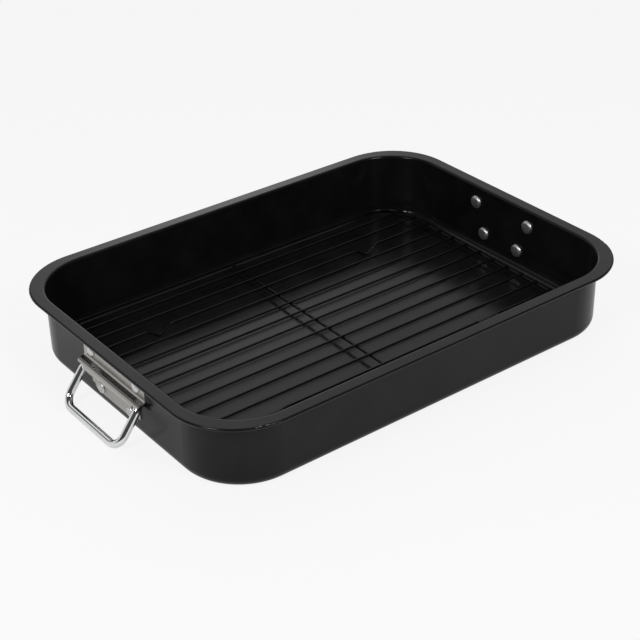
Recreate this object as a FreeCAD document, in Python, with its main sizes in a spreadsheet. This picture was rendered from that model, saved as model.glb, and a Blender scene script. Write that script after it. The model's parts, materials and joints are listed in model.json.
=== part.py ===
import FreeCAD, Part
import os
import Sketcher
from math import pi

V = FreeCAD.Vector
UP = V(0, 0, 1)
ORIGIN = (-1, 1)
X_AXIS = -1
Y_AXIS = -2
START, END, CENTRE = 1, 2, 3
TOUCH = 1e-4

# Driving sizes, in millimetres and degrees
SIZES = {
    "pan_length": (420, "over the rim"),
    "pan_width": (306.2, "over the rim"),
    "pan_height": (60.4, "base to top of rim"),
    "pan_sheet": (0.9, "sheet of the pan"),
    "rim_corner": (57, "plan radius of the rim's outer edge"),
    "rim_width": (10.6, "outer wall face to rim edge"),
    "wall_corner": (51.5, "plan radius of the outer wall face"),
    "rim_bend": (2.2, "top radius where the wall turns into the rim"),
    "rim_curl": (1.4, "outer radius of the rolled rim edge"),
    "base_bend": (8, "outer radius between wall and floor"),
    "axis_height": (31.4, "handle rod axis above the base"),
    "rod_diameter": (6.5, "handle rod"),
    "rod_gap": (0.4, "rod to the end wall"),
    "bail_width": (78.4, "between the leg axes"),
    "bail_reach": (34.9, "rod axis to axis of the grip bar"),
    "bail_top_bend": (4.5, "bend radius beside the bead"),
    "bail_grip_bend": (11, "bend radius beside the grip bar"),
    "bail_tilt": (36.9, "resting angle of the legs from upright"),
    "bracket_sheet": (1, "sheet of the bracket"),
    "bracket_width": (87.6, "flange and hooks"),
    "bracket_rise": (18.9, "top edge above the rod axis"),
    "bracket_drop": (19.9, "lower edge below the rod axis"),
    "bracket_corner": (3, "upper corners"),
    "bead_width": (69.8, "whole bead and the strip below it, between the legs"),
    "bead_play": (0.4, "gap round the rod in its bead"),
    "bead_fold": (3.2, "bend radius beside the bead, on the wall's side"),
    "hook_edge": (1.8, "end of the hooks over the legs, above the rod axis"),
    "hook_corner": (1.5, "lower corners of the hooks"),
    "strip_drop": (15.2, "lower edge of the strip below the rod axis"),
    "strip_corner": (1.5, "lower corners of the strip"),
    "tab_width": (62, "tab below the strip"),
    "tab_corner": (4.5, "lower corners of the tab"),
    "rivet_shank": (5, "diameter"),
    "rivet_play": (0.05, "gap round the shank"),
    "outer_head": (9, "diameter"),
    "outer_dome": (2.4, "height"),
    "inner_head": (12, "diameter"),
    "inner_dome": (2.9, "height"),
    "upper_rivet_rise": (13.2, "above the rod axis"),
    "upper_rivet_span": (64.8, "between the two"),
    "lower_rivet_drop": (14.5, "below the rod axis"),
    "lower_rivet_span": (42.2, "between the two"),
    "rack_end_gap": (14.5, "inner end wall to the frame's axis"),
    "rack_side_gap": (6.1, "inner side wall to the frame's axis"),
    "rack_corner": (26, "frame, bend radius of the axis"),
    "rack_offset": (-2, "where the loose rack lies along the pan"),
    "frame_wire": (2.5, "diameter of frame and cross wire"),
    "long_wire": (2, "diameter of the long wires"),
    "edge_wire_gap": (20.125, "frame's axis to the outermost long wire"),
    "weld_sink": (0.2, "how far welded wires sink into each other"),
    "foot_drop": (6.9, "depth of a foot below its wire"),
    "foot_width": (25.6, "between the shoulders of a foot"),
    "foot_span": (220.4, "between the two feet of a wire"),
    "foot_bend": (3, "bend radius in a foot"),
    "foot_gap": (0.3, "feet above the pan floor"),
}
WIRE_COUNT = 14
FOOTED_WIRES = (3, 12)
SIDES = {"left": -1, "right": 1}


class Size:
    """A number together with the sheet expression that it comes from."""

    def __init__(self, value, text):
        self.value = value
        self.text = text

    def joined(self, sign, other, value):
        return Size(value, "(%s %s %s)" % (self.text, sign, other.text))

    def __add__(self, other):
        other = as_size(other)
        return self.joined("+", other, self.value + other.value)

    def __sub__(self, other):
        other = as_size(other)
        return self.joined("-", other, self.value - other.value)

    def __mul__(self, other):
        other = as_size(other)
        return self.joined("*", other, self.value * other.value)

    def __truediv__(self, other):
        other = as_size(other)
        return self.joined("/", other, self.value / other.value)

    def __neg__(self):
        return self * -1


def as_size(number):
    return number if isinstance(number, Size) else Size(number, "(%r)" % number)


doc = FreeCAD.newDocument("roasting_pan")
sheet = doc.addObject("Spreadsheet::Sheet", "Sizes")
size = {}
for row, (alias, (number, note)) in enumerate(SIZES.items(), start=1):
    sheet.set("A%d" % row, alias)
    sheet.set("B%d" % row, str(number))
    sheet.set("C%d" % row, note)
    sheet.setAlias("B%d" % row, alias)
    size[alias] = Size(float(number), "Sizes." + alias)
doc.recompute()

# Sizes that several pieces share
wall_x = size["pan_length"] / 2 - size["rim_width"]
wall_y = size["pan_width"] / 2 - size["rim_width"]
wall_top = size["pan_height"] - size["rim_bend"]
rim_start = wall_x - size["pan_sheet"] + size["rim_bend"]
rod_x = wall_x + size["rod_gap"] + size["rod_diameter"] / 2
bead_inside = size["rod_diameter"] / 2 + size["bead_play"]
upper_rivet_z = size["axis_height"] + size["upper_rivet_rise"]
lower_rivet_z = size["axis_height"] - size["lower_rivet_drop"]
rivet_places = [
    (size["upper_rivet_span"] / 2, upper_rivet_z),
    (size["upper_rivet_span"] / -2, upper_rivet_z),
    (size["lower_rivet_span"] / 2, lower_rivet_z),
    (size["lower_rivet_span"] / -2, lower_rivet_z),
]
long_wire_z = size["pan_sheet"] + size["foot_gap"] + size["long_wire"] / 2 + size["foot_drop"]
frame_z = long_wire_z - size["long_wire"] / 2 - size["frame_wire"] / 2 + size["weld_sink"]
rack_half_x = wall_x - size["pan_sheet"] - size["rack_end_gap"]
rack_half_y = wall_y - size["pan_sheet"] - size["rack_side_gap"]
wire_pitch = (rack_half_y - size["edge_wire_gap"]) * 2 / (WIRE_COUNT - 1)
wire_half = rack_half_x + size["frame_wire"] / 2
nodes = []


# Document helpers
def bind(obj, **sizes):
    for name, value in sizes.items():
        obj.setExpression(name, value.text)


def place(obj, x=None, y=None, z=None):
    for axis, value in (("x", x), ("y", y), ("z", z)):
        if value is not None:
            obj.setExpression(".Placement.Base." + axis, value.text)


def new_body(name):
    body = doc.addObject("PartDesign::Body", name)
    body.Label = name
    return body


def new_sketch(body, name, role, offset=None):
    sketch = body.newObject("Sketcher::SketchObject", name)
    planes = {feature.Role: feature for feature in body.Origin.OriginFeatures}
    sketch.AttachmentSupport = [(planes[role], "")]
    sketch.MapMode = "FlatFace"
    if offset is not None:
        sketch.setExpression(".AttachmentOffset.Base.z", offset.text)
    return sketch


def finish_body(body):
    doc.recompute()
    nodes.append(body)


def edges_where(feature, test):
    doc.recompute()
    return ["Edge%d" % i for i, edge in enumerate(feature.Shape.Edges, start=1) if test(edge)]


def round_edges(body, name, radius, test):
    base = body.Tip
    fillet = body.newObject("PartDesign::Fillet", name)
    fillet.Base = (base, edges_where(base, test))
    bind(fillet, Radius=radius)
    doc.recompute()


def at_height(z):
    def test(edge):
        box = edge.BoundBox
        return abs(box.ZMin - z.value) < TOUCH and abs(box.ZMax - z.value) < TOUCH
    return test


def pad_both_ways(body, name, sketch, length):
    feature = body.newObject("PartDesign::Pad", name)
    feature.Profile = sketch
    feature.SideType = "Symmetric"
    bind(feature, Length=length)
    doc.recompute()


def cut_through(body, name, sketch):
    doc.recompute()
    before = body.Tip.Shape.Volume
    pocket = body.newObject("PartDesign::Pocket", name)
    pocket.Profile = sketch
    pocket.Type = "ThroughAll"
    pocket.SideType = "Symmetric"
    doc.recompute()
    if pocket.Shape.Volume >= before:
        raise RuntimeError(name + " cuts nothing")


def sweep(body, name, profile, spine):
    pipe = body.newObject("PartDesign::AdditivePipe", name)
    pipe.Profile = profile
    pipe.Spine = spine
    doc.recompute()


# Sketch helpers
def dimension(sketch, value, kind, *where):
    index = sketch.addConstraint(Sketcher.Constraint(kind, *where, value.value))
    sketch.setExpression("Constraints[%d]" % index, value.text)


def pin(sketch, kind, value, geometry, point):
    """Holds a point's distance from the origin along one axis, on the side where it is drawn."""
    if value.value > 0:
        dimension(sketch, value, kind, *ORIGIN, geometry, point)
    else:
        dimension(sketch, -value, kind, geometry, point, *ORIGIN)


def join(sketch, kind, *pairs):
    for first, second in pairs:
        sketch.addConstraint(Sketcher.Constraint(kind, *first, *second))


def align(sketch, kind, *lines):
    for line in lines:
        sketch.addConstraint(Sketcher.Constraint(kind, line))


def line(x0, y0, x1, y1):
    return Part.LineSegment(V(x0, y0, 0), V(x1, y1, 0))


def arc(x, y, radius, first, last):
    """Arc that runs counter-clockwise between two angles, counted in quarter turns."""
    return Part.ArcOfCircle(Part.Circle(V(x, y, 0), UP, radius), first * pi / 2, last * pi / 2)


def circle(sketch, x, y, radius):
    index = sketch.addGeometry(Part.Circle(V(x.value, y.value, 0), UP, radius.value))
    for kind, value in (("DistanceX", x), ("DistanceY", y)):
        if value.value:
            pin(sketch, kind, value, index, CENTRE)
    if not x.value:
        sketch.addConstraint(Sketcher.Constraint("PointOnObject", index, CENTRE, Y_AXIS))
    dimension(sketch, radius, "Radius", index)


def rectangle(sketch, x0, x1, y0, y1):
    corners = [(x0, y0), (x1, y0), (x1, y1), (x0, y1)]
    ends = corners[1:] + corners[:1]
    drawn = [line(a.value, b.value, c.value, d.value) for (a, b), (c, d) in zip(corners, ends)]
    first = sketch.addGeometry(drawn)[0]
    for i in range(4):
        join(sketch, "Coincident", ((first + i, END), (first + (i + 1) % 4, START)))
    align(sketch, "Horizontal", first, first + 2)
    align(sketch, "Vertical", first + 1, first + 3)
    pin(sketch, "DistanceX", x0, first, START)
    pin(sketch, "DistanceX", x1, first, END)
    pin(sketch, "DistanceY", y0, first, START)
    pin(sketch, "DistanceY", y1, first + 2, START)


def ring(sketch, half, low, high, low_corner, high_corner, start=None):
    """Rounded rectangle from -half to half and low to high, begun on its right side at height start."""
    a, b, c = half.value, low.value, high.value
    q, r = low_corner.value, high_corner.value
    s = start.value if start else 0
    drawn = sketch.addGeometry([
        line(a, s, a, c - r),
        arc(a - r, c - r, r, 0, 1),
        line(a - r, c, r - a, c),
        arc(r - a, c - r, r, 1, 2),
        line(-a, c - r, -a, b + q),
        arc(q - a, b + q, q, 2, 3),
        line(q - a, b, a - q, b),
        arc(a - q, b + q, q, 3, 4),
        line(a, b + q, a, s),
    ])
    right, high_right, top, high_left, left, low_left, bottom, low_right, back_up = drawn
    join(sketch, "Tangent", *[((first, END), (second, START)) for first, second in zip(drawn, drawn[1:])])
    join(sketch, "Coincident", ((back_up, END), (right, START)))
    align(sketch, "Vertical", right, left, back_up)
    align(sketch, "Horizontal", top, bottom)
    join(sketch, "Equal", ((high_right,), (high_left,)), ((low_left,), (low_right,)))
    dimension(sketch, high_corner, "Radius", high_right)
    dimension(sketch, low_corner, "Radius", low_left)
    pin(sketch, "DistanceX", half, right, START)
    pin(sketch, "DistanceX", -half, left, START)
    if c:
        pin(sketch, "DistanceY", high, top, START)
    else:
        sketch.addConstraint(Sketcher.Constraint("PointOnObject", top, START, X_AXIS))
    pin(sketch, "DistanceY", low, bottom, START)
    if start:
        pin(sketch, "DistanceY", start, right, START)
    else:
        sketch.addConstraint(Sketcher.Constraint("PointOnObject", right, START, X_AXIS))


# Pan: upright drawn walls and a flat rim with a rolled edge, wider at the corners
def outline(sketch, half_x, half_y, corner):
    ring(sketch, half_x, -half_y, half_y, corner, corner)


def wall_outline(sketch, outward):
    outline(sketch, wall_x + outward, wall_y + outward, size["wall_corner"] + outward)


def rim_outline(sketch, inset):
    outline(sketch, size["pan_length"] / 2 - inset, size["pan_width"] / 2 - inset, size["rim_corner"] - inset)


def start_from_walls(body, name, floor, inset, bend):
    """Starts a body from a block between the walls, and rounds its lower edge."""
    base = new_sketch(body, name + "_base", "XY_Plane", floor)
    wall_outline(base, -inset)
    block = body.newObject("PartDesign::Pad", name)
    block.Profile = base
    bind(block, Length=wall_top - floor)
    round_edges(body, name + "_edge", bend, at_height(floor))


def draw_bend_profile(sketch):
    """Quarter turn of the sheet from the wall into the rim."""
    skin, bend = size["pan_sheet"], size["rim_bend"]
    x, z, r, t = rim_start.value, wall_top.value, bend.value, skin.value
    sketch.addGeometry([
        arc(x, z, r, 1, 2),
        line(x - r, z, x - r + t, z),
        arc(x, z, r - t, 1, 2),
        line(x, z + r - t, x, z + r),
    ])
    join(sketch, "Coincident", ((0, END), (1, START)), ((1, END), (2, END)), ((2, START), (3, START)),
         ((3, END), (0, START)), ((0, CENTRE), (2, CENTRE)))
    align(sketch, "Horizontal", 1)
    align(sketch, "Vertical", 3)
    join(sketch, "Horizontal", ((0, CENTRE), (0, END)))
    join(sketch, "Vertical", ((0, CENTRE), (0, START)))
    dimension(sketch, bend, "Radius", 0)
    dimension(sketch, bend - skin, "Radius", 2)
    pin(sketch, "DistanceX", rim_start, 0, CENTRE)
    pin(sketch, "DistanceY", wall_top, 0, CENTRE)


def draw_curl_profile(sketch):
    """Three quarter turns of the sheet that roll the rim's edge under."""
    skin, curl = size["pan_sheet"], size["rim_curl"]
    curl_x = size["pan_length"] / 2 - curl
    curl_z = size["pan_height"] - curl
    x, z, r, t = curl_x.value, curl_z.value, curl.value, skin.value
    sketch.addGeometry([
        arc(x, z, r, 2, 5),
        line(x, z + r, x, z + r - t),
        arc(x, z, r - t, 2, 5),
        line(x - r + t, z, x - r, z),
    ])
    join(sketch, "Coincident", ((0, END), (1, START)), ((1, END), (2, END)), ((2, START), (3, START)),
         ((3, END), (0, START)), ((0, CENTRE), (2, CENTRE)))
    align(sketch, "Vertical", 1)
    align(sketch, "Horizontal", 3)
    join(sketch, "Vertical", ((0, CENTRE), (0, END)))
    join(sketch, "Horizontal", ((0, CENTRE), (0, START)))
    dimension(sketch, curl, "Radius", 0)
    dimension(sketch, curl - skin, "Radius", 2)
    pin(sketch, "DistanceX", curl_x, 0, CENTRE)
    pin(sketch, "DistanceY", curl_z, 0, CENTRE)


def make_rim(body):
    bend_path = new_sketch(body, "bend_path", "XY_Plane", wall_top)
    wall_outline(bend_path, as_size(0))
    bend_profile = new_sketch(body, "bend_profile", "XZ_Plane")
    draw_bend_profile(bend_profile)
    sweep(body, "rim_bend", bend_profile, bend_path)
    flat = new_sketch(body, "rim_flat_outline", "XY_Plane", size["pan_height"] - size["pan_sheet"])
    rim_outline(flat, size["rim_curl"])
    wall_outline(flat, size["rim_bend"] - size["pan_sheet"])
    plate = body.newObject("PartDesign::Pad", "rim_flat")
    plate.Profile = flat
    bind(plate, Length=size["pan_sheet"])
    doc.recompute()
    curl_path = new_sketch(body, "curl_path", "XY_Plane", size["pan_height"] - size["rim_curl"])
    rim_outline(curl_path, size["rim_curl"])
    curl_profile = new_sketch(body, "curl_profile", "XZ_Plane")
    draw_curl_profile(curl_profile)
    sweep(body, "rim_curl", curl_profile, curl_path)


def draw_rivet_holes(sketch):
    for y, z in rivet_places:
        circle(sketch, y, z, size["rivet_shank"] / 2 + size["rivet_play"])


def make_pan():
    skin = size["pan_sheet"]
    flush = as_size(0)
    cavity = new_body("cavity")
    start_from_walls(cavity, "inner_block", skin, skin, size["base_bend"] - skin)
    body = new_body("pan_body")
    start_from_walls(body, "outer_block", flush, flush, size["base_bend"])
    hollow = body.newObject("PartDesign::Boolean", "hollow")
    hollow.setObjects([cavity])
    hollow.Type = "Cut"
    doc.recompute()
    make_rim(body)
    holes = new_sketch(body, "rivet_holes", "YZ_Plane")
    draw_rivet_holes(holes)
    cut_through(body, "rivet_hole_cut", holes)
    finish_body(body)


# Handle bracket: a T-shaped strip with a bead pressed across it for the handle rod
def draw_bracket_profile(sketch):
    w, s, b, f = (z.value for z in (wall_x, size["bracket_sheet"], bead_inside, size["bead_fold"]))
    x, z = rod_x.value, size["axis_height"].value
    top, low = z + size["bracket_rise"].value, z - size["bracket_drop"].value
    upper, lower = z + b + f, z - b - f
    sketch.addGeometry([
        line(w, top, w, upper),
        arc(w + f, upper, f, 2, 3),
        line(w + f, z + b, x, z + b),
        arc(x, z, b, 3, 5),
        line(x, z - b, w + f, z - b),
        arc(w + f, lower, f, 1, 2),
        line(w, lower, w, low),
        line(w, low, w + s, low),
        line(w + s, low, w + s, lower),
        arc(w + f, lower, f - s, 1, 2),
        line(w + f, z - b - s, x, z - b - s),
        arc(x, z, b + s, 3, 5),
        line(x, z + b + s, w + f, z + b + s),
        arc(w + f, upper, f - s, 2, 3),
        line(w + s, upper, w + s, top),
        line(w + s, top, w, top),
    ])
    join(sketch, "Tangent", ((0, END), (1, START)), ((1, END), (2, START)), ((2, END), (3, END)),
         ((3, START), (4, START)), ((4, END), (5, START)), ((5, END), (6, START)), ((8, END), (9, END)),
         ((9, START), (10, START)), ((10, END), (11, START)), ((11, END), (12, START)),
         ((12, END), (13, END)), ((13, START), (14, START)))
    join(sketch, "Coincident", ((6, END), (7, START)), ((7, END), (8, START)), ((14, END), (15, START)),
         ((15, END), (0, START)))
    join(sketch, "Coincident", *[((first, CENTRE), (14 - first, CENTRE)) for first in (1, 3, 5)])
    align(sketch, "Vertical", 0, 6, 8, 14)
    align(sketch, "Horizontal", 2, 4, 7, 10, 12, 15)
    join(sketch, "Equal", ((5,), (1,)))
    dimension(sketch, size["bead_fold"], "Radius", 1)
    dimension(sketch, bead_inside, "Radius", 3)
    dimension(sketch, bead_inside + size["bracket_sheet"], "Radius", 11)
    pin(sketch, "DistanceX", wall_x, 0, START)
    pin(sketch, "DistanceX", wall_x, 6, END)
    pin(sketch, "DistanceX", rod_x, 3, CENTRE)
    pin(sketch, "DistanceY", size["axis_height"], 3, CENTRE)
    pin(sketch, "DistanceY", size["axis_height"] + size["bracket_rise"], 0, START)
    pin(sketch, "DistanceY", size["axis_height"] - size["bracket_drop"], 6, END)


def across_sheet(y, z):
    def test(edge):
        box = edge.BoundBox
        flat = box.YLength < TOUCH and box.ZLength < TOUCH
        beside = abs(abs(box.YMin) - y.value) < TOUCH
        return flat and beside and abs(box.ZMin - z.value) < TOUCH
    return test


def make_bracket(side, sign):
    body = new_body(side + "_handle_bracket")
    profile = new_sketch(body, side + "_bead_profile", "XZ_Plane")
    draw_bracket_profile(profile)
    wide, half = size["bracket_width"], size["bracket_width"] / 2
    bead_half, tab_half = size["bead_width"] / 2, size["tab_width"] / 2
    pad_both_ways(body, side + "_strip", profile, wide)
    axis = size["axis_height"]
    top, low = axis + size["bracket_rise"], axis - size["bracket_drop"]
    hook, strip_low = axis + size["hook_edge"], axis - size["strip_drop"]
    below = low - size["bracket_sheet"]
    notches = new_sketch(body, side + "_leg_notches", "YZ_Plane")
    rectangle(notches, bead_half, wide, below, hook)
    rectangle(notches, -wide, -bead_half, below, hook)
    cut_through(body, side + "_notch_cut", notches)
    steps = new_sketch(body, side + "_tab_steps", "YZ_Plane")
    rectangle(steps, tab_half, wide, below, strip_low)
    rectangle(steps, -wide, -tab_half, below, strip_low)
    cut_through(body, side + "_step_cut", steps)
    round_edges(body, side + "_upper_corners", size["bracket_corner"], across_sheet(half, top))
    round_edges(body, side + "_hook_corners", size["hook_corner"], across_sheet(half, hook))
    round_edges(body, side + "_strip_corners", size["strip_corner"], across_sheet(bead_half, strip_low))
    round_edges(body, side + "_tab_corners", size["tab_corner"], across_sheet(tab_half, low))
    holes = new_sketch(body, side + "_bracket_holes", "YZ_Plane")
    draw_rivet_holes(holes)
    cut_through(body, side + "_hole_cut", holes)
    body.Placement.Rotation = FreeCAD.Rotation(UP, 0 if sign > 0 else 180)
    finish_body(body)


# Bail handle: a closed ring of rod that turns about its top bar
def make_bail(side, sign):
    body = new_body(side + "_bail_handle")
    half, reach = size["bail_width"] / 2, size["bail_reach"]
    middle = reach / -2
    path = new_sketch(body, side + "_bail_path", "YZ_Plane")
    ring(path, half, -reach, as_size(0), size["bail_grip_bend"], size["bail_top_bend"], middle)
    section = new_sketch(body, side + "_rod_section", "XY_Plane", middle)
    circle(section, as_size(0), half, size["rod_diameter"] / 2)
    sweep(body, side + "_rod", section, path)
    body.Placement.Rotation = FreeCAD.Rotation(V(0, -sign, 0), size["bail_tilt"].value)
    place(body, rod_x * sign, None, size["axis_height"])
    body.setExpression(".Placement.Rotation.Angle", size["bail_tilt"].text)
    finish_body(body)


# Rivets: a shank through wall and bracket with a domed head at each end
def make_dome(name, head, seat, y, z, outward):
    dome = doc.addObject("Part::Sphere", name)
    diameter, height = size[head + "_head"], size[head + "_dome"]
    radius = (diameter * diameter / 4 + height * height) / (height * 2)
    bind(dome, Radius=radius)
    dome.setExpression("Angle1", "asin(%s)" % ((radius - height) / radius).text)
    dome.Placement.Rotation = FreeCAD.Rotation(V(0, 1, 0), 90 * outward)
    place(dome, seat - (radius - height) * outward, y, z)
    return dome


def make_rivet(name, sign, y, z):
    inner_seat = wall_x - size["pan_sheet"]
    outer_seat = wall_x + size["bracket_sheet"]
    shank = doc.addObject("Part::Cylinder", name + "_shank")
    bind(shank, Radius=size["rivet_shank"] / 2, Height=outer_seat - inner_seat)
    shank.Placement.Rotation = FreeCAD.Rotation(V(0, 1, 0), 90 * sign)
    place(shank, inner_seat * sign, y, z)
    outer = make_dome(name + "_outer_head", "outer", outer_seat * sign, y, z, sign)
    inner = make_dome(name + "_inner_head", "inner", inner_seat * sign, y, z, -sign)
    rivet = doc.addObject("Part::MultiFuse", name)
    rivet.Shapes = [shank, outer, inner]
    return rivet


def make_rivets(side, sign):
    group = doc.addObject("Part::Compound", side + "_handle_rivets")
    group.Links = [
        make_rivet("%s_rivet_%d" % (side, i), sign, y, z)
        for i, (y, z) in enumerate(rivet_places, start=1)
    ]
    doc.recompute()
    nodes.append(group)


# Rack: a wire frame, one cross wire below, and long wires on top of both
def make_frame():
    body = new_body("rack_frame")
    path = new_sketch(body, "frame_path", "XY_Plane", frame_z)
    ring(path, rack_half_x, -rack_half_y, rack_half_y, size["rack_corner"], size["rack_corner"])
    section = new_sketch(body, "frame_section", "XZ_Plane")
    circle(section, rack_half_x, frame_z, size["frame_wire"] / 2)
    sweep(body, "frame_loop", section, path)
    place(body, size["rack_offset"])
    finish_body(body)


def make_straight_wire(name, wire, length, along, x, y, z):
    rod = doc.addObject("Part::Cylinder", name)
    bind(rod, Radius=size[wire] / 2, Height=length)
    rod.Placement.Rotation = FreeCAD.Rotation(UP, along)
    place(rod, x, y, z)
    nodes.append(rod)


def make_cross_wire():
    half = rack_half_y - size["frame_wire"] / 2 + size["weld_sink"]
    x = size["rack_offset"]
    make_straight_wire("rack_cross_wire", "frame_wire", half * 2, V(0, 1, 0), x, -half, frame_z)


def draw_footed_path(sketch):
    half, bend = wire_half, size["foot_bend"]
    shoulder = size["foot_width"] / 2
    low_z = long_wire_z - size["foot_drop"] + bend
    feet = [size["foot_span"] / -2, size["foot_span"] / 2]
    top, r, b = long_wire_z.value, bend.value, low_z.value
    h = shoulder.value
    x = -half.value
    drawn = []
    for foot in feet:
        f = foot.value
        drawn += [
            line(x, top, f - h, top),
            arc(f - h, top - r, r, 0.5, 1),
            line(f - h + r, top - r, f - r, b),
            arc(f, b, r, 2.5, 3.5),
            line(f + r, b, f + h - r, top - r),
            arc(f + h, top - r, r, 1, 1.5),
        ]
        x = f + h
    drawn.append(line(x, top, half.value, top))
    sketch.addGeometry(drawn)
    for level, foot in zip((0, 6), feet):
        enter, down, toe, rise, leave, onward = range(level + 1, level + 7)
        join(sketch, "Tangent", ((level, END), (enter, END)), ((enter, START), (down, START)),
             ((down, END), (toe, START)), ((toe, END), (rise, START)),
             ((rise, END), (leave, END)), ((leave, START), (onward, START)))
        dimension(sketch, bend, "Radius", toe)
        join(sketch, "Equal", ((toe,), (enter,)), ((toe,), (leave,)))
        pin(sketch, "DistanceX", foot - shoulder, enter, CENTRE)
        pin(sketch, "DistanceX", foot, toe, CENTRE)
        pin(sketch, "DistanceX", foot + shoulder, leave, CENTRE)
        pin(sketch, "DistanceY", low_z, toe, CENTRE)
    align(sketch, "Horizontal", 0, 6, 12)
    for level in (0, 6, 12):
        pin(sketch, "DistanceY", long_wire_z, level, START)
    pin(sketch, "DistanceX", -half, 0, START)
    pin(sketch, "DistanceX", half, 12, END)


def make_footed_wire(name, y):
    body = new_body(name)
    path = new_sketch(body, name + "_path", "XZ_Plane")
    draw_footed_path(path)
    section = new_sketch(body, name + "_section", "YZ_Plane", -wire_half)
    circle(section, as_size(0), long_wire_z, size["long_wire"] / 2)
    sweep(body, name + "_bent", section, path)
    place(body, size["rack_offset"], y)
    finish_body(body)


def make_long_wires():
    for i in range(1, WIRE_COUNT + 1):
        name = "rack_wire_%02d" % i
        y = wire_pitch * ((WIRE_COUNT + 1) / 2 - i)
        if i in FOOTED_WIRES:
            make_footed_wire(name, y)
        else:
            start = size["rack_offset"] - wire_half
            make_straight_wire(name, "long_wire", wire_half * 2, V(1, 0, 0), start, y, long_wire_z)


make_pan()
for side, sign in SIDES.items():
    make_bracket(side, sign)
    make_bail(side, sign)
    make_rivets(side, sign)
make_frame()
make_cross_wire()
make_long_wires()
doc.recompute()

for obj in doc.Objects:
    if "Invalid" in obj.State or "Error" in obj.State:
        raise RuntimeError("%s did not build: %s" % (obj.Label, obj.State))
for node in nodes:
    if node.Shape.isNull() or not node.Shape.isValid():
        raise RuntimeError(node.Label + " has no valid shape")

os.makedirs("parts", exist_ok=True)
for node in nodes:
    node.Shape.exportStep("parts/%s.step" % node.Label)
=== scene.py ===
import json
import math

import bmesh
import bpy
from mathutils import Matrix, Vector


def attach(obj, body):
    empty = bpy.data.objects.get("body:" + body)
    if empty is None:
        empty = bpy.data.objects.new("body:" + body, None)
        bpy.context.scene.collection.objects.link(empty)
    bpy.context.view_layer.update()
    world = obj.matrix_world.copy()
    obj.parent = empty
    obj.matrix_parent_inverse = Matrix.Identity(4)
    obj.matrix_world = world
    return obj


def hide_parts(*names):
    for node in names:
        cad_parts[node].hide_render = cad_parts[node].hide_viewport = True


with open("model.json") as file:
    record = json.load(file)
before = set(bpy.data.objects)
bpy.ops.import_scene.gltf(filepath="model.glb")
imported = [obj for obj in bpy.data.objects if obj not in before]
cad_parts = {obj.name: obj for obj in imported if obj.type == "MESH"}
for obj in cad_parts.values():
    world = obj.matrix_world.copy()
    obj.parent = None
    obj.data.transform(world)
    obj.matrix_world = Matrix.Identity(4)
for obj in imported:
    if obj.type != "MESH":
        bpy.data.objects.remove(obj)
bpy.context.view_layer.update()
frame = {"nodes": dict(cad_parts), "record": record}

MM = 0.001
SCENE = bpy.context.scene
NODES = frame["nodes"]


# Node helpers
def new_material(name):
    """An empty node material, with its tree and the output that a shader is joined to."""
    material = bpy.data.materials.new(name)
    material.use_nodes = True
    tree = material.node_tree
    tree.nodes.clear()
    return material, tree, tree.nodes.new("ShaderNodeOutputMaterial")


def add(tree, kind, links=None, **values):
    """Adds a node. Values go to its settings or sockets, and links join its sockets to others."""
    node = tree.nodes.new(kind)
    for key, value in values.items():
        if hasattr(node, key):
            setattr(node, key, value)
        else:
            node.inputs[key.replace("_", " ")].default_value = value
    for key, source in (links or {}).items():
        tree.links.new(source, node.inputs[key])
    return node


def combined(tree, operation, first, second):
    """A socket combined with another socket or with a number."""
    node = add(tree, "ShaderNodeMath", {0: first}, operation=operation)
    if isinstance(second, bpy.types.NodeSocket):
        tree.links.new(second, node.inputs[1])
    else:
        node.inputs[1].default_value = second
    return node.outputs[0]


def mapped(tree, stretch):
    """The object's own coordinates, with each axis scaled."""
    coordinates = add(tree, "ShaderNodeTexCoord")
    mapping = add(tree, "ShaderNodeMapping", {"Vector": coordinates.outputs["Object"]}, Scale=stretch)
    return mapping.outputs["Vector"]


def noise(tree, vector, scale, detail, harshness=0.5):
    shape = {"Scale": scale, "Detail": detail, "Roughness": harshness}
    return add(tree, "ShaderNodeTexNoise", {"Vector": vector}, **shape).outputs["Fac"]


def ramp(tree, source, dark, pale, start, end):
    """A colour that runs from dark to pale between two levels of its source."""
    node = add(tree, "ShaderNodeValToRGB", {"Fac": source})
    for element, place, colour in zip(node.color_ramp.elements, (start, end), (dark, pale)):
        element.position = place
        element.color = (*colour, 1)
    return node.outputs["Color"]


def span(tree, source, low, high):
    return add(tree, "ShaderNodeMapRange", {"Value": source}, To_Min=low, To_Max=high).outputs["Result"]


def bump(tree, height, strength, depth):
    node = add(tree, "ShaderNodeBump", {"Height": height}, Strength=strength, Distance=depth)
    return node.outputs["Normal"]


def shade(tree, output, colour, roughness, normal=None, **values):
    """One shader with a varied colour, roughness and normal. Its other values are the same all over."""
    links = {"Base Color": colour, "Roughness": roughness}
    if normal is not None:
        links["Normal"] = normal
    shader = add(tree, "ShaderNodeBsdfPrincipled", links, **values)
    tree.links.new(shader.outputs["BSDF"], output.inputs["Surface"])


# Finishes
EVEN = (1, 1, 1)
COAT_IOR = 1.3
# Scale and detail of the coating's noises, and strength and depth of its relief
COAT_CLOUD, COAT_GRAIN = (40, 4), (900, 3)
COAT_RELIEF = (0.06, 0.05 * MM)
# Levels of the noise between which a colour goes from dark to pale
COAT_LEVELS, METAL_LEVELS = (0.35, 0.7), (0.3, 0.7)


def coated(name, dark, pale, rough):
    """A sprayed coating with faint clouds in its colour and a fine grain in its gloss and relief."""
    material, tree, output = new_material(name)
    vector = mapped(tree, EVEN)
    colour = ramp(tree, noise(tree, vector, *COAT_CLOUD), dark, pale, *COAT_LEVELS)
    grain = noise(tree, vector, *COAT_GRAIN)
    shade(tree, output, colour, span(tree, grain, *rough), bump(tree, grain, *COAT_RELIEF), IOR=COAT_IOR)
    return material


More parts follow.
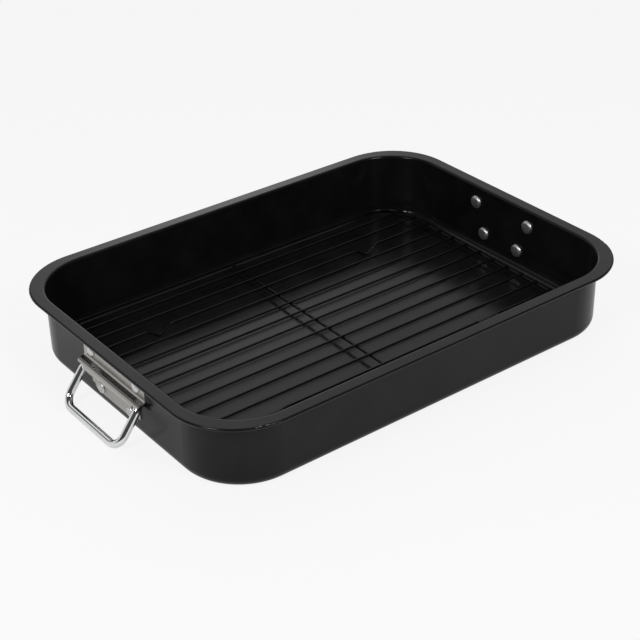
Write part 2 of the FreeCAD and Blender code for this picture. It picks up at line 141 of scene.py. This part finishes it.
def metal(name, dark, pale, rough, scale, detail, harshness=0.5, stretch=EVEN, relief=None):
    """A bare metal. One noise varies its colour and its gloss, and a grain has relief too."""
    material, tree, output = new_material(name)
    grain = noise(tree, mapped(tree, stretch), scale, detail, harshness)
    colour = ramp(tree, grain, dark, pale, *METAL_LEVELS)
    normal = bump(tree, grain, *relief) if relief else None
    shade(tree, output, colour, span(tree, grain, *rough), normal, Metallic=1.0)
    return material


FINISHES = {
    "nonstick_coating": coated(
        "nonstick_coating", dark=(0.0066, 0.0066, 0.0071), pale=(0.0105, 0.0105, 0.0112), rough=(0.15, 0.22)),
    "rack_coating": coated(
        "rack_coating", dark=(0.003, 0.003, 0.0033), pale=(0.006, 0.006, 0.0064), rough=(0.22, 0.30)),
    "stainless_bracket": metal(
        "stainless_bracket", dark=(0.42, 0.405, 0.385), pale=(0.51, 0.495, 0.475), rough=(0.22, 0.30),
        scale=1800, detail=4, harshness=0.6, stretch=(1, 0.02, 1), relief=(0.012, 0.02 * MM)),
    "chromed_rod": metal(
        "chromed_rod", dark=(0.80, 0.81, 0.82), pale=(0.86, 0.86, 0.87), rough=(0.03, 0.06),
        scale=120, detail=3),
    "rivet_metal": metal(
        "rivet_metal", dark=(0.68, 0.68, 0.67), pale=(0.80, 0.80, 0.79), rough=(0.36, 0.5),
        scale=500, detail=4),
}
for part in frame["record"]["subparts"]:
    mesh = NODES[part["node"]].data
    mesh.materials.clear()
    mesh.materials.append(FINISHES[part["material_slot"]])


# Rivets, in mm, with button heads inside the pan and flattened domes on the brackets
# Each rivet's distance from the middle of the wall and its height
UPPER_RIVET, LOWER_RIVET = (32.4, 44.6), (21.1, 16.9)
RIVET_PLACES = [(y * side, z) for y, z in (UPPER_RIVET, LOWER_RIVET) for side in (-1, 1)]
# Distances of the wall's inner face and the bracket's outer face from the pan's middle
INNER_SEAT, OUTER_SEAT = 198.5, 200.4
# Outline of each head from its edge to its crown: radius and height over the seat
INNER_HEAD = (
    (5.7, 0), (5.98, 0.35), (6, 0.8), (5.86, 1.4), (5.5, 1.98), (4.95, 2.42), (4.3, 2.68), (3.4, 2.79),
    (1.7, 2.86), (0, 2.88),
)
OUTER_HEAD = (
    (4.35, 0), (4.5, 0.2), (4.46, 0.62), (4.22, 1.1), (3.75, 1.58), (3.05, 1.98), (2.1, 2.24), (1.05, 2.36),
    (0, 2.4),
)
AROUND = 56


def add_head(mesh, outline, seat, outward, y, z):
    """Turns a head's outline about the rivet's axis, from its seat outwards."""
    *edges, (_, top) = outline
    rings = []
    for radius, height in edges:
        ring = []
        for step in range(AROUND):
            angle = math.tau * step / AROUND
            across, up = radius * math.cos(angle), radius * math.sin(angle)
            ring.append(mesh.verts.new(Vector((seat + height * outward, y + across, z + up)) * MM))
        rings.append(ring)
    crown = mesh.verts.new(Vector((seat + top * outward, y, z)) * MM)
    for lower, upper in zip(rings, rings[1:]):
        for i in range(AROUND):
            j = (i + 1) % AROUND
            mesh.faces.new((lower[i], lower[j], upper[j], upper[i]))
    for i in range(AROUND):
        mesh.faces.new((rings[-1][i], rings[-1][(i + 1) % AROUND], crown))
    mesh.faces.new(reversed(rings[0]))


def make_rivets(side, sign):
    """The heads of one bracket's four rivets. Only the flat faces on their seats aren't smooth."""
    mesh = bmesh.new()
    for y, z in RIVET_PLACES:
        add_head(mesh, INNER_HEAD, INNER_SEAT * sign, -sign, y, z)
        add_head(mesh, OUTER_HEAD, OUTER_SEAT * sign, sign, y, z)
    bmesh.ops.recalc_face_normals(mesh, faces=mesh.faces)
    data = bpy.data.meshes.new(side + "_rivet_heads")
    mesh.to_mesh(data)
    mesh.free()
    for face in data.polygons:
        face.use_smooth = len(face.vertices) < AROUND
    data.materials.append(FINISHES["rivet_metal"])
    piece = bpy.data.objects.new(side + "_rivet_heads", data)
    SCENE.collection.objects.link(piece)
    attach(piece, "pan")
    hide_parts(side + "_handle_rivets")


make_rivets("left", -1)
make_rivets("right", 1)


# Floor, light and camera, in metres and degrees, with azimuths from +X towards +Y
FLOOR_SIDE = 14
FLOOR_COLOUR = (0.9, 0.9, 0.9, 1)
FLOOR_GLOW = (0.975, 0.975, 0.975, 1)
# Share of the glow in the floor that the camera sees, and in the floor that mirrors see
SEEN_WHITE, MIRRORED_WHITE = 0.9, 0.42
# The azimuth that the camera looks towards
FAR_AZIMUTH = 53
ROOM_LEVEL = 0.06
# Each glow of the room: azimuth, elevation, angle of its even core, angle where it ends, level
WORLD_GLOWS = (
    (FAR_AZIMUTH, 50, 28, 46, 0.82),
    (131, 4, 13, 33, 0.65),
    (57.8, 23.8, 2.5, 7.5, 1.55),
    (46, 30.5, 2, 12, -0.18),
)
SOFTBOX_TURNS = {"left_softbox": 140, "front_softbox": -140}
SOFTBOX_ELEVATION, SOFTBOX_DISTANCE, SOFTBOX_SIDE, SOFTBOX_WATTS = 41, 1.6, 0.36, 7.5
# The camera's azimuth is from -Y towards +X
CAMERA_AZIMUTH, CAMERA_ELEVATION, CAMERA_ROLL = -37.002, 30.919, -1.225
CAMERA_TARGET = Vector((-22.7, -22.75, 30)) * MM
CAMERA_DISTANCE = 1198.05 * MM
IMAGE_PX, FOCAL_PX, SENSOR_MM = 640, 1490.14, 36


def heading(azimuth, elevation):
    """The unit vector at these two angles in degrees, from +X towards +Y and upwards."""
    turn, rise = math.radians(azimuth), math.radians(elevation)
    return Vector((math.cos(turn) * math.cos(rise), math.sin(turn) * math.cos(rise), math.sin(rise)))


def make_floor():
    """A pale floor. The camera and mirrors see most of it as plain white, with the object's shadow on it."""
    bpy.ops.mesh.primitive_plane_add(size=FLOOR_SIDE)
    floor = bpy.context.object
    floor.name = "floor"
    material, tree, output = new_material("floor")
    rays = add(tree, "ShaderNodeLightPath").outputs
    straight = combined(tree, "MAXIMUM", rays["Is Camera Ray"], rays["Is Transmission Ray"])
    mirrored = combined(tree, "MULTIPLY", rays["Is Glossy Ray"], MIRRORED_WHITE / SEEN_WHITE)
    share = combined(tree, "MULTIPLY", combined(tree, "MAXIMUM", straight, mirrored), SEEN_WHITE)
    matte = add(tree, "ShaderNodeBsdfDiffuse", Color=FLOOR_COLOUR)
    glow = add(tree, "ShaderNodeEmission", Color=FLOOR_GLOW)
    mix = add(tree, "ShaderNodeMixShader", {0: share, 1: matte.outputs[0], 2: glow.outputs[0]})
    tree.links.new(mix.outputs[0], output.inputs["Surface"])
    floor.data.materials.append(material)


def make_world():
    """A dim room with a wide pale diffuser above and behind the object, and smaller glows."""
    world = bpy.data.worlds.new("studio")
    SCENE.world = world
    world.use_nodes = True
    tree = world.node_tree
    direction = add(tree, "ShaderNodeTexCoord").outputs["Generated"]
    total = ROOM_LEVEL
    for azimuth, elevation, core, edge, level in WORLD_GLOWS:
        facing = add(tree, "ShaderNodeVectorMath", {0: direction}, operation="DOT_PRODUCT")
        facing.inputs[1].default_value = heading(azimuth, elevation)
        glow = add(
            tree, "ShaderNodeMapRange", {"Value": facing.outputs["Value"]}, interpolation_type="SMOOTHSTEP",
            From_Min=math.cos(math.radians(edge)), From_Max=math.cos(math.radians(core)), To_Max=level)
        total = combined(tree, "ADD", glow.outputs["Result"], total)
    background = tree.nodes["Background"]
    background.inputs["Color"].default_value = (1, 1, 1, 1)
    tree.links.new(total, background.inputs["Strength"])


def make_softbox(name, azimuth):
    """A square lamp that points at the middle of the pan's base."""
    light = bpy.data.lights.new(name, "AREA")
    light.shape = "RECTANGLE"
    light.size = light.size_y = SOFTBOX_SIDE
    light.energy = SOFTBOX_WATTS
    lamp = bpy.data.objects.new(name, light)
    SCENE.collection.objects.link(lamp)
    lamp.location = heading(azimuth, SOFTBOX_ELEVATION) * SOFTBOX_DISTANCE
    lamp.rotation_euler = (-lamp.location).to_track_quat("-Z", "Y").to_euler()


def make_camera():
    """The photo's camera, as fitted to the pan's rim, walls, base and rivets."""
    azimuth, elevation, roll = (math.radians(a) for a in (CAMERA_AZIMUTH, CAMERA_ELEVATION, CAMERA_ROLL))
    level = math.cos(elevation)
    back = Vector((math.sin(azimuth) * level, -math.cos(azimuth) * level, math.sin(elevation)))
    right = Vector((math.cos(azimuth), math.sin(azimuth), 0))
    up = back.cross(right)
    across = right * math.cos(roll) + up * math.sin(roll)
    upward = up * math.cos(roll) - right * math.sin(roll)
    data = bpy.data.cameras.new("camera")
    data.sensor_width = SENSOR_MM
    data.lens = FOCAL_PX / IMAGE_PX * SENSOR_MM
    camera = bpy.data.objects.new("camera", data)
    SCENE.collection.objects.link(camera)
    turn = Matrix((across, upward, back)).transposed().to_4x4()
    camera.matrix_world = Matrix.Translation(CAMERA_TARGET + back * CAMERA_DISTANCE) @ turn
    SCENE.camera = camera


make_floor()
make_world()
for name, turn in SOFTBOX_TURNS.items():
    make_softbox(name, FAR_AZIMUTH + turn)
make_camera()
SCENE.view_settings.view_transform = "Standard"
